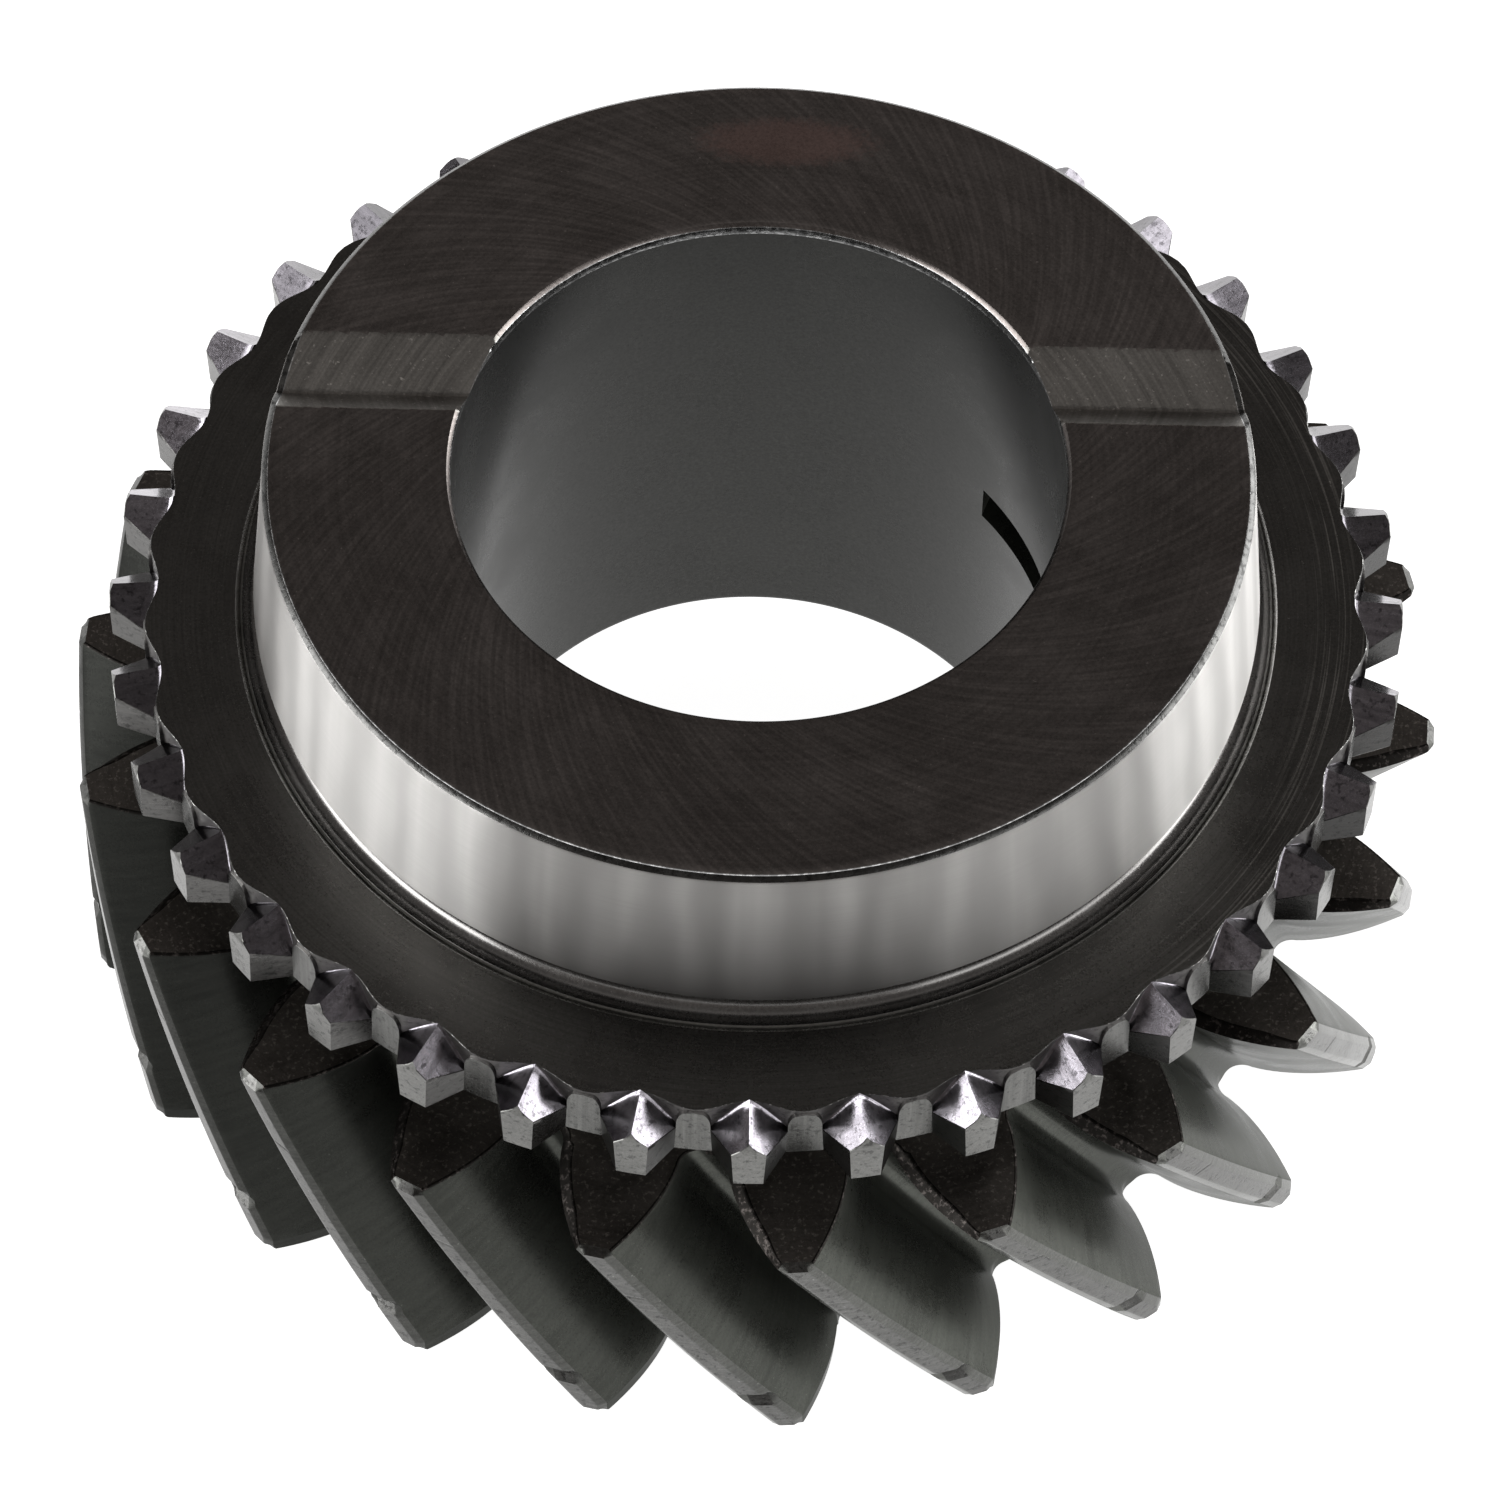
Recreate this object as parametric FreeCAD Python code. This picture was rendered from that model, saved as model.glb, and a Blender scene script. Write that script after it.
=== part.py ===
import FreeCAD, Part

import math
import os

# Speed gear of a manual gearbox: a left-hand helical gear whose hub carries a
# synchroniser friction cone, with a ring of pointed dog teeth pressed onto the hub.
#
# Millimetres and degrees. The origin is on the bore axis in the plane of the lower
# end face of the helical teeth, and +Z points towards the friction cone.
# Angles are measured from +X, counter-clockwise seen from above.

Vector = FreeCAD.Vector
UP = Vector(0, 0, 1)

# ---------------------------------------------------------------- helical teeth
TEETH = 22
NORMAL_MODULE = 3.25
NORMAL_PRESSURE_ANGLE = 20.0
HELIX_ANGLE = 30.4            # at the pitch circle, left hand
PROFILE_SHIFT = 0.32          # in modules, it thickens the teeth
FACE_WIDTH = 21.0
TIP_RADIUS = 46.05
ROOT_RADIUS = 37.25
ROOT_FILLET = 1.4
TIP_CHAMFER_DEPTH = 0.42      # long chamfer between each flank and the tip land
TIP_CHAMFER_WIDTH = 0.62
CREST_END_CHAMFER = 0.45      # turned on the blank before the teeth are cut
END_BEVEL_LENGTH = 0.7        # bevel on the acute edge at each end of a tooth
END_BEVEL_WIDTH = 0.85
FIRST_TOOTH_ANGLE = -86.03    # centre of a tooth at the upper end face
FLANK_POINTS = 6
HELIX_SECTIONS = 5

# Turned identification lines round the tips of the teeth
MARK_Z = 4.05
MARK_DEPTH = 0.5
MARK_HALF_WIDTH = 0.7
SCRIBE_Z = 16.2
SCRIBE_DEPTH = 0.08
SCRIBE_HALF_WIDTH = 0.12

# ---------------------------------------------------------------- hub and cone
BORE_RADIUS = 20.0
BORE_TOP_CHAMFER = 0.4
BORE_BOTTOM_CHAMFER = 0.6
THRUST_RECESS_DEPTH = 2.4     # lower thrust face, sunk below the end of the teeth
THRUST_RECESS_RADIUS = 33.0
THRUST_RECESS_CORNER = 0.8
NECK_RADIUS = 36.6            # clearance for the tool between teeth and clutch ring
NECK_FILLET = 0.6
HUB_TOP_Z = 45.2
CONE_TOP_Z = 44.85
CONE_TOP_RADIUS = 32.25
CONE_TOP_CHAMFER = 0.35
CONE_BASE_Z = 33.0
CONE_BASE_RADIUS = 33.32
CONE_BASE_CHAMFER = 0.5
RELIEF_RADIUS = 0.9           # round-nosed grinding relief under the cone
RELIEF_CENTRE_RADIUS = 33.45
RELIEF_CENTRE_Z = 31.9

# Oil slot milled straight across the upper thrust face, to one side of the axis
OIL_SLOT_NEAR_Y = 4.0
OIL_SLOT_DEEP_Y = 5.8
OIL_SLOT_BREAK_Y = 8.2
OIL_SLOT_FAR_Y = 10.1
OIL_SLOT_DEPTH = 1.15
OIL_SLOT_BREAK_DEPTH = 0.35
OVERTRAVEL = 1.0              # how far the cutter reaches beyond the part

# Lubrication slot sawn through the neck into the bore with a disc cutter
LUBE_SLOT_BOTTOM_Z = 23.0
LUBE_SLOT_TOP_Z = 25.9
LUBE_CUTTER_RADIUS = 40.0
LUBE_BREAKTHROUGH_ANGLE = 40.0

# ---------------------------------------------------------------- clutch ring
RING_SEAT_RADIUS = 34.3
RING_BOTTOM_Z = 26.44
SHOULDER_Z = 31.32
RING_INNER_CHAMFER = 0.3
RING_LOWER_CHAMFER = 0.2
DOG_TEETH = 36
FIRST_DOG_ANGLE = -89.65
DOG_TIP_RADIUS = 43.1
DOG_CROWN_CHAMFER = 0.35
DOG_CROWN_Z = 30.6
DOG_RIDGE_RADIUS = 39.78      # the ridge of a tooth meets the shoulder here
DOG_RIDGE_SLOPE = 0.099       # fall of the ridge per millimetre outwards
DOG_ROOF_SLOPE = 0.97         # fall of each roof facet per millimetre sideways
DOG_HALF_WIDTH = 1.11         # at the tip, at the height DOG_CORNER_Z
DOG_CORNER_Z = 29.9
DOG_FLANK_ANGLE = 27.0
DOG_BACK_TAPER = 2.7          # the teeth are narrower below, so the sleeve stays in
DOG_SHANK_RADIUS = 39.2       # inner end of a tooth solid, buried in the ring
DOG_OVERSIZE_RADIUS = 43.6    # outer end before turning to the tip radius
GAP_WALL_RADIUS = 40.45
GAP_EDGE_RADIUS = 40.2
GAP_EDGE_ANGLE = 3.9          # from the middle of a tooth


def polar(radius, angle, z=0.0):
    turn = math.radians(angle)
    return Vector(radius * math.cos(turn), radius * math.sin(turn), z)


def arc(start, middle, end):
    return Part.Arc(start, middle, end).toShape()


def line(start, end):
    return Part.LineSegment(start, end).toShape()


def spline(points):
    curve = Part.BSplineCurve()
    curve.interpolate(points)
    return curve.toShape()


def turned(path):
    """Solid of revolution of a closed outline of (r, z) points.

    An item of four numbers is an arc: the point it passes and the point it ends at.
    """
    edges = []
    here = path[0]
    for step in path[1:] + [path[0]]:
        end = step[-2:]
        start_point = Vector(here[0], 0, here[1])
        end_point = Vector(end[0], 0, end[1])
        if len(step) == 4:
            edges.append(arc(start_point, Vector(step[0], 0, step[1]), end_point))
        else:
            edges.append(line(start_point, end_point))
        here = end
    return Part.Face(Part.Wire(edges)).revolve(Vector(0, 0, 0), UP, 360)


def copies(shape, count):
    """The shape repeated evenly round the axis, as a list."""
    pitch = 360.0 / count
    return [shape.rotated(Vector(0, 0, 0), UP, step * pitch) for step in range(count)]


# ---------------------------------------------------------------- tooth geometry
helix = math.radians(HELIX_ANGLE)
pitch_radius = TEETH * NORMAL_MODULE / (2 * math.cos(helix))
pressure_angle = math.atan(math.tan(math.radians(NORMAL_PRESSURE_ANGLE)) / math.cos(helix))
base_radius = pitch_radius * math.cos(pressure_angle)
twist_per_mm = math.degrees(math.tan(helix) / pitch_radius)
shift_gain = 4 * PROFILE_SHIFT * math.tan(math.radians(NORMAL_PRESSURE_ANGLE))
half_at_pitch_circle = (math.pi + shift_gain) / (2 * TEETH)


def involute(angle):
    return math.tan(angle) - angle


def flank_angle(radius):
    """Half the angle that a tooth takes up at a radius."""
    local_pressure = math.acos(base_radius / radius)
    half = half_at_pitch_circle + involute(pressure_angle) - involute(local_pressure)
    return math.degrees(half)


fillet_centre_radius = ROOT_RADIUS + ROOT_FILLET
chamfer_radius = TIP_RADIUS - TIP_CHAMFER_DEPTH
crest_half_angle = flank_angle(chamfer_radius) - math.degrees(TIP_CHAMFER_WIDTH / TIP_RADIUS)
flank_radii = [
    fillet_centre_radius + (chamfer_radius - fillet_centre_radius) * step / (FLANK_POINTS - 1)
    for step in range(FLANK_POINTS)
]


def tooth_side(centre, side, bevel, z):
    """Edges of one side of a tooth from root to tip; side is -1 or +1."""

    def at(radius, half_angle):
        return polar(radius, centre + side * (half_angle - math.degrees(bevel / radius)), z)

    flank = [at(radius, flank_angle(radius)) for radius in flank_radii]
    fillet_turn = math.degrees(ROOT_FILLET / fillet_centre_radius)
    fillet_centre_angle = centre + side * (flank_angle(fillet_centre_radius) + fillet_turn)
    fillet_centre = polar(fillet_centre_radius, fillet_centre_angle, z)
    root = polar(ROOT_RADIUS, fillet_centre_angle, z)
    outward = (flank[0] - fillet_centre).normalize() + (root - fillet_centre).normalize()
    fillet_middle = fillet_centre + outward.normalize() * ROOT_FILLET
    crest = at(TIP_RADIUS, crest_half_angle)
    return [arc(root, fillet_middle, flank[0]), spline(flank), line(flank[-1], crest)]


def gear_section(z, lower_bevel=0.0, upper_bevel=0.0):
    """Outline of all the teeth at one height.

    The bevels thin a tooth on the side of its larger angle at the lower end
    and on the side of its smaller angle at the upper end.
    """
    first = FIRST_TOOTH_ANGLE + (FACE_WIDTH - z) * twist_per_mm
    pitch = 360.0 / TEETH
    sides = []
    for tooth in range(TEETH):
        centre = first + tooth * pitch
        rising = tooth_side(centre, -1, upper_bevel, z)
        falling = tooth_side(centre, 1, lower_bevel, z)
        sides.append((centre, rising, falling))
    edges = []
    for tooth, (centre, rising, falling) in enumerate(sides):
        tip_start = rising[-1].Vertexes[-1].Point
        tip_end = falling[-1].Vertexes[-1].Point
        tip_middle = (tip_start + tip_end) * 0.5 - Vector(0, 0, z)
        tip_middle = tip_middle.normalize() * TIP_RADIUS + Vector(0, 0, z)
        root_start = falling[0].Vertexes[0].Point
        root_end = sides[(tooth + 1) % TEETH][1][0].Vertexes[0].Point
        root_middle = polar(ROOT_RADIUS, centre + pitch / 2, z)
        edges += rising
        edges.append(arc(tip_start, tip_middle, tip_end))
        edges += list(reversed(falling))
        edges.append(arc(root_start, root_middle, root_end))
    return Part.Wire(edges)


def toothed_disc():
    """The helical teeth over the whole face width, bevelled at both ends."""
    lower = END_BEVEL_LENGTH
    upper = FACE_WIDTH - END_BEVEL_LENGTH
    heights = [lower + (upper - lower) * step / (HELIX_SECTIONS - 1) for step in range(HELIX_SECTIONS)]
    bottom_face = gear_section(0, lower_bevel=END_BEVEL_WIDTH)
    top_face = gear_section(FACE_WIDTH, upper_bevel=END_BEVEL_WIDTH)
    bottom = Part.makeLoft([bottom_face, gear_section(lower)], True, True)
    middle = Part.makeLoft([gear_section(z) for z in heights], True, False)
    top = Part.makeLoft([gear_section(upper), top_face], True, True)
    return bottom.fuse([middle, top])


# ---------------------------------------------------------------- helical gear
def gear_rim():
    """Toothed part of the wheel, below the upper end face."""
    recess_edge = THRUST_RECESS_RADIUS - THRUST_RECESS_CORNER
    recess_turn = THRUST_RECESS_CORNER * (1 - math.sqrt(0.5))
    blank = turned([
        (BORE_RADIUS, FACE_WIDTH),
        (BORE_RADIUS, THRUST_RECESS_DEPTH + BORE_BOTTOM_CHAMFER),
        (BORE_RADIUS + BORE_BOTTOM_CHAMFER, THRUST_RECESS_DEPTH),
        (recess_edge, THRUST_RECESS_DEPTH),
        (THRUST_RECESS_RADIUS - recess_turn, THRUST_RECESS_DEPTH - recess_turn,
         THRUST_RECESS_RADIUS, THRUST_RECESS_DEPTH - THRUST_RECESS_CORNER),
        (THRUST_RECESS_RADIUS, 0.0),
        (TIP_RADIUS - CREST_END_CHAMFER, 0.0),
        (TIP_RADIUS, CREST_END_CHAMFER),
        (TIP_RADIUS, MARK_Z - MARK_HALF_WIDTH),
        (TIP_RADIUS - MARK_DEPTH, MARK_Z),
        (TIP_RADIUS, MARK_Z + MARK_HALF_WIDTH),
        (TIP_RADIUS, SCRIBE_Z - SCRIBE_HALF_WIDTH),
        (TIP_RADIUS - SCRIBE_DEPTH, SCRIBE_Z),
        (TIP_RADIUS, SCRIBE_Z + SCRIBE_HALF_WIDTH),
        (TIP_RADIUS, FACE_WIDTH - CREST_END_CHAMFER),
        (TIP_RADIUS - CREST_END_CHAMFER, FACE_WIDTH),
    ])
    return blank.common(toothed_disc())


def hub():
    """Neck, seat of the clutch ring, grinding relief, friction cone and bore."""
    relief_floor = RELIEF_CENTRE_Z - RELIEF_RADIUS
    relief_inner = RELIEF_CENTRE_RADIUS - RELIEF_RADIUS
    shoulder_drop = RELIEF_CENTRE_Z - SHOULDER_Z
    relief_outer = RELIEF_CENTRE_RADIUS + math.sqrt(RELIEF_RADIUS ** 2 - shoulder_drop ** 2)
    neck_turn = NECK_FILLET * (1 - math.sqrt(0.5))
    return turned([
        (BORE_RADIUS, FACE_WIDTH),
        (NECK_RADIUS + NECK_FILLET, FACE_WIDTH),
        (NECK_RADIUS + neck_turn, FACE_WIDTH + neck_turn, NECK_RADIUS, FACE_WIDTH + NECK_FILLET),
        (NECK_RADIUS, RING_BOTTOM_Z),
        (RING_SEAT_RADIUS, RING_BOTTOM_Z),
        (RING_SEAT_RADIUS, SHOULDER_Z),
        (relief_outer, SHOULDER_Z),
        (RELIEF_CENTRE_RADIUS, relief_floor, relief_inner, RELIEF_CENTRE_Z),
        (relief_inner, CONE_BASE_Z - CONE_BASE_CHAMFER),
        (CONE_BASE_RADIUS, CONE_BASE_Z),
        (CONE_TOP_RADIUS, CONE_TOP_Z),
        (CONE_TOP_RADIUS - CONE_TOP_CHAMFER, HUB_TOP_Z),
        (BORE_RADIUS + BORE_TOP_CHAMFER, HUB_TOP_Z),
        (BORE_RADIUS, HUB_TOP_Z - BORE_TOP_CHAMFER),
    ])


def oil_slot():
    """Cutter for the shallow slot across the upper thrust face."""
    reach = CONE_BASE_RADIUS + OVERTRAVEL
    outline = [
        (OIL_SLOT_NEAR_Y, HUB_TOP_Z),
        (OIL_SLOT_DEEP_Y, HUB_TOP_Z - OIL_SLOT_DEPTH),
        (OIL_SLOT_BREAK_Y, HUB_TOP_Z - OIL_SLOT_BREAK_DEPTH),
        (OIL_SLOT_FAR_Y, HUB_TOP_Z),
        (OIL_SLOT_FAR_Y, HUB_TOP_Z + OVERTRAVEL),
        (OIL_SLOT_NEAR_Y, HUB_TOP_Z + OVERTRAVEL),
    ]
    points = [Vector(-reach, y, z) for y, z in outline]
    return Part.Face(Part.makePolygon(points + points[:1])).extrude(Vector(2 * reach, 0, 0))


def lube_slot():
    """Cutter for the slot that lets oil from the neck into the bore."""
    turn = math.radians(LUBE_BREAKTHROUGH_ANGLE)
    edge_x = BORE_RADIUS * math.cos(turn)
    edge_y = BORE_RADIUS * math.sin(turn)
    cutter_x = edge_x + math.sqrt(LUBE_CUTTER_RADIUS ** 2 - edge_y ** 2)
    height = LUBE_SLOT_TOP_Z - LUBE_SLOT_BOTTOM_Z
    return Part.makeCylinder(LUBE_CUTTER_RADIUS, height, Vector(cutter_x, 0, LUBE_SLOT_BOTTOM_Z), UP)


def helical_gear():
    wheel = gear_rim().fuse(hub()).removeSplitter()
    return wheel.cut([oil_slot(), lube_slot()])


# ---------------------------------------------------------------- clutch ring
def ring_core():
    """The ring inside the dog teeth, hollowed in front of each tooth."""
    pitch = 360.0 / DOG_TEETH
    edges = []
    for tooth in range(DOG_TEETH):
        centre = FIRST_DOG_ANGLE + tooth * pitch
        start = polar(GAP_EDGE_RADIUS, centre - GAP_EDGE_ANGLE, RING_BOTTOM_Z)
        middle = polar(DOG_RIDGE_RADIUS, centre, RING_BOTTOM_Z)
        end = polar(GAP_EDGE_RADIUS, centre + GAP_EDGE_ANGLE, RING_BOTTOM_Z)
        gap = polar(GAP_WALL_RADIUS, centre + pitch / 2, RING_BOTTOM_Z)
        following = polar(GAP_EDGE_RADIUS, centre + pitch - GAP_EDGE_ANGLE, RING_BOTTOM_Z)
        edges += [arc(start, middle, end), arc(end, gap, following)]
    return Part.Face(Part.Wire(edges)).extrude(Vector(0, 0, SHOULDER_Z - RING_BOTTOM_Z))


def dog_tooth():
    """One pointed tooth, with its ridge along +X."""
    flank_slope = math.tan(math.radians(DOG_FLANK_ANGLE))
    taper_slope = math.tan(math.radians(DOG_BACK_TAPER))

    def half_width(radius, z):
        inner_gain = (DOG_TIP_RADIUS - radius) * flank_slope
        return DOG_HALF_WIDTH + inner_gain + (z - DOG_CORNER_Z) * taper_slope

    def house(radius):
        ridge_z = SHOULDER_Z - DOG_RIDGE_SLOPE * (radius - DOG_RIDGE_RADIUS)
        eave = half_width(radius, ridge_z) / (1 + DOG_ROOF_SLOPE * taper_slope)
        eave_z = ridge_z - DOG_ROOF_SLOPE * eave
        foot = half_width(radius, RING_BOTTOM_Z)
        corners = [
            (-foot, RING_BOTTOM_Z),
            (foot, RING_BOTTOM_Z),
            (eave, eave_z),
            (0, ridge_z),
            (-eave, eave_z),
        ]
        points = [Vector(radius, y, z) for y, z in corners]
        return Part.makePolygon(points + points[:1])

    return Part.makeLoft([house(DOG_SHANK_RADIUS), house(DOG_OVERSIZE_RADIUS)], True, True)


def clutch_ring():
    crown_top = DOG_CROWN_Z + DOG_CROWN_CHAMFER
    blank = turned([
        (RING_SEAT_RADIUS, RING_BOTTOM_Z),
        (DOG_TIP_RADIUS - RING_LOWER_CHAMFER, RING_BOTTOM_Z),
        (DOG_TIP_RADIUS, RING_BOTTOM_Z + RING_LOWER_CHAMFER),
        (DOG_TIP_RADIUS, DOG_CROWN_Z),
        (DOG_TIP_RADIUS - DOG_CROWN_CHAMFER, crown_top),
        (DOG_TIP_RADIUS - DOG_CROWN_CHAMFER - (SHOULDER_Z - crown_top), SHOULDER_Z),
        (RING_SEAT_RADIUS + RING_INNER_CHAMFER, SHOULDER_Z),
        (RING_SEAT_RADIUS, SHOULDER_Z - RING_INNER_CHAMFER),
    ])
    first_tooth = dog_tooth().rotated(Vector(0, 0, 0), UP, FIRST_DOG_ANGLE)
    toothed = ring_core().fuse(copies(first_tooth, DOG_TEETH))
    return blank.common(toothed).removeSplitter()


# ---------------------------------------------------------------- export
os.makedirs("parts", exist_ok=True)
for name, build in (("helical_gear", helical_gear), ("clutch_ring", clutch_ring)):
    shape = build()
    solid = shape.Solids[0]
    assert len(shape.Solids) == 1 and solid.isValid(), name
    solid.exportStep(f"parts/{name}.step")
    size = solid.BoundBox
    print(f"{name}: {size.XLength:.2f} x {size.YLength:.2f} x {size.ZLength:.2f} mm, "
          f"{solid.Volume:.0f} mm3, {len(solid.Faces)} faces")
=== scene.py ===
"""Looks of the helical speed gear with its friction cone and dog-tooth ring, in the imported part's frame."""

import math

import bmesh
import bpy
import numpy as np
from mathutils import Matrix, Vector


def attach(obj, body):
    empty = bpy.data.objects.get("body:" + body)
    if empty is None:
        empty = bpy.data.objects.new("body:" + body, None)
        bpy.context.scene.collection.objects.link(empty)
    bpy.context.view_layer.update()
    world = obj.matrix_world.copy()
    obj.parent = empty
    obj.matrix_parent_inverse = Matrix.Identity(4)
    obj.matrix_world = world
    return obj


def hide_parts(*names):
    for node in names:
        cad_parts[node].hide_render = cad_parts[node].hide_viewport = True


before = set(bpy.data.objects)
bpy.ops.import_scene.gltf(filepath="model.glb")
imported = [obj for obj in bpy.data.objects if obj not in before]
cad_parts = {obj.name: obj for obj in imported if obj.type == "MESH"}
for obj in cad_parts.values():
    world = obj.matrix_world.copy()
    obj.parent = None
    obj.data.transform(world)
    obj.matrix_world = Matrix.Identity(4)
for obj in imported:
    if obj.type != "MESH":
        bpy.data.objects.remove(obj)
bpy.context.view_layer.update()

MM = 0.001

# ---------------------------------------------------------------- dimensions, in millimetres
# Helical teeth
TEETH = 22
NORMAL_MODULE = 3.25
HELIX = math.radians(30.4)
NORMAL_PRESSURE = math.radians(20.0)
FACE_WIDTH = 21.0
PROFILE_SHIFT = 0.32
TIP_RADIUS = 46.05
ROOT_RADIUS = 37.25
ROOT_FILLET = 1.4
FIRST_TOOTH = math.radians(-86.03)
PITCH_RADIUS = TEETH * NORMAL_MODULE / (2 * math.cos(HELIX))
PRESSURE = math.atan(math.tan(NORMAL_PRESSURE) / math.cos(HELIX))
BASE_RADIUS = PITCH_RADIUS * math.cos(PRESSURE)
TWIST = math.tan(HELIX) / PITCH_RADIUS
PITCH_HALF_ANGLE = (math.pi + 4 * PROFILE_SHIFT * math.tan(NORMAL_PRESSURE)) / (2 * TEETH)

# Edges of the teeth, the turned groove (MARK) and the scribed line round their tips
TIP_CHAMFER_DEPTH = 0.38
TIP_CHAMFER_WIDTH = 0.62
CREST_END_CHAMFER = 0.5
UPPER_BEVEL_LENGTH = 0.6
UPPER_BEVEL_WIDTH = 1.05
LOWER_BEVEL_LENGTH = 1.2
LOWER_BEVEL_WIDTH = 0.75
EDGE_BREAK = 0.12
MARK_Z = 4.0
MARK_DEPTH = 0.5
MARK_HALF_WIDTH = 0.72
SCRIBE_Z = 16.2
SCRIBE_DEPTH = 0.03
SCRIBE_HALF_WIDTH = 0.12

# Neck, seat of the ring, relief groove, cone, top face, bore and lower end
NECK_RADIUS = 36.6
NECK_FILLET = 0.55
RING_SEAT_RADIUS = 34.3
RING_BOTTOM = 26.44
RELIEF_RADIUS = 0.9
RELIEF_CENTRE_RADIUS = 33.45
RELIEF_CENTRE_Z = 31.9
CONE_BASE_RADIUS = 33.33
CONE_BASE_Z = 33.06
CONE_TOP_RADIUS = 32.25
CONE_TOP_Z = 44.82
HUB_TOP = 45.2
TOP_FACE_RADIUS = 31.8
BORE_RADIUS = 20.0
RECESS_RADIUS = 33.0          # sunk thrust face at the lower end
RECESS_DEPTH = 2.4
RECESS_CORNER = 0.8

# Oil slot across the top face: y and height over the face; only points above SLOT_REACH_Z are moved for it
SLOT_PROFILE = [(3.95, 0.0), (4.1, -0.05), (5.9, -1.0), (6.15, -1.02), (9.9, -0.08), (10.3, 0.0)]
SLOT_REACH_Z = 43.4
SLOT_REACH_Y = 3.0

# Slot in the bore wall, sawn by a disc from the +X side; its half angle is seen from the axis
SAW_RADIUS = 40.0
SAW_WIDTH = 2.9
SAW_Z = 24.45
SAW_HALF_ANGLE = math.radians(40.0)

MERGE_DISTANCE = 2e-6         # metres
GEAR_SHARP_ANGLE = math.radians(28)
RING_SHARP_ANGLE = math.radians(33)


def involute(angle):
    return np.tan(angle) - angle


def flank_angle(radius):
    """Half the angle that a tooth takes up at a radius."""
    local = np.arccos(BASE_RADIUS / radius)
    return PITCH_HALF_ANGLE + involute(PRESSURE) - involute(local)


def half_tooth():
    """(radius, angle, part) from the middle of the tip to the middle of the gap."""
    chamfer_radius = TIP_RADIUS - TIP_CHAMFER_DEPTH
    crest_angle = flank_angle(chamfer_radius) - TIP_CHAMFER_WIDTH / TIP_RADIUS
    points = [(TIP_RADIUS, crest_angle * t, "land") for t in (0, 0.35, 0.7, 0.93)]
    points.append((TIP_RADIUS - 0.02, crest_angle + 0.0006, "chamfer"))
    points.append((chamfer_radius + 0.05, flank_angle(chamfer_radius + 0.02) - 0.0012, "chamfer"))
    start = ROOT_RADIUS + ROOT_FILLET
    for t in np.linspace(0, 1, 17) ** 1.15:
        radius = chamfer_radius - 0.05 - (chamfer_radius - 0.05 - start) * t
        points.append((radius, float(flank_angle(radius)), "flank"))
    centre_angle = float(flank_angle(start)) + ROOT_FILLET / start
    for turn in np.radians(np.linspace(80, 5, 9)):
        x = start - ROOT_FILLET * math.cos(turn)
        y = -ROOT_FILLET * math.sin(turn)
        points.append((math.hypot(x, y), centre_angle + math.atan2(y, x), "fillet"))
    half_pitch = math.pi / TEETH
    for t in np.linspace(0.0, 1.0, 4)[:-1]:
        points.append((ROOT_RADIUS, centre_angle + (half_pitch - centre_angle) * t, "root"))
    return points


def gear_outline():
    """Closed outline at angle zero: radius, angle, part name and side of every point."""
    half = half_tooth()
    left = [(r, -a, part, -1) for r, a, part in reversed(half[1:])]
    right = [(r, a, part, 1) for r, a, part in half]
    tooth = [(ROOT_RADIUS, -math.pi / TEETH, "root", -1)] + left + right
    radius = np.array([p[0] for p in tooth] * TEETH)
    pitch = 2 * math.pi / TEETH
    angle = np.array([p[1] + k * pitch for k in range(TEETH) for p in tooth])
    part = [p[2] for p in tooth] * TEETH
    side = np.array([p[3] for p in tooth] * TEETH)
    return radius, angle, part, side


def blank_radius(z):
    """Turned outer shape before the teeth are cut, with the groove and the scribed line."""
    end = min(z, FACE_WIDTH - z)
    radius = TIP_RADIUS - max(0.0, CREST_END_CHAMFER - end)
    radius -= MARK_DEPTH * max(0.0, 1 - abs(z - MARK_Z) / MARK_HALF_WIDTH)
    radius -= SCRIBE_DEPTH * max(0.0, 1 - abs(z - SCRIBE_Z) / SCRIBE_HALF_WIDTH)
    return radius


def tooth_heights():
    """Heights of the rings, close together at the ends, the turned groove and the scribed line."""
    ends = [0, 0.02, 0.05, 0.09, 0.13, 0.25, 0.4, CREST_END_CHAMFER, UPPER_BEVEL_LENGTH, 0.8, 1.0,
            LOWER_BEVEL_LENGTH]
    mark = [MARK_Z + MARK_HALF_WIDTH * t for t in (-1.1, -1, -0.9, -0.5, -0.08, 0.08, 0.5, 0.9, 1, 1.1)]
    scribe = [SCRIBE_Z + SCRIBE_HALF_WIDTH * t for t in (-1.5, -1, 0, 1, 1.5)]
    plain = [*np.linspace(1.6, 3.2, 3), *np.linspace(5.6, 15.5, 16), *np.linspace(17, 19.4, 4)]
    return sorted(ends + mark + scribe + plain + [FACE_WIDTH - z for z in ends])


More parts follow.
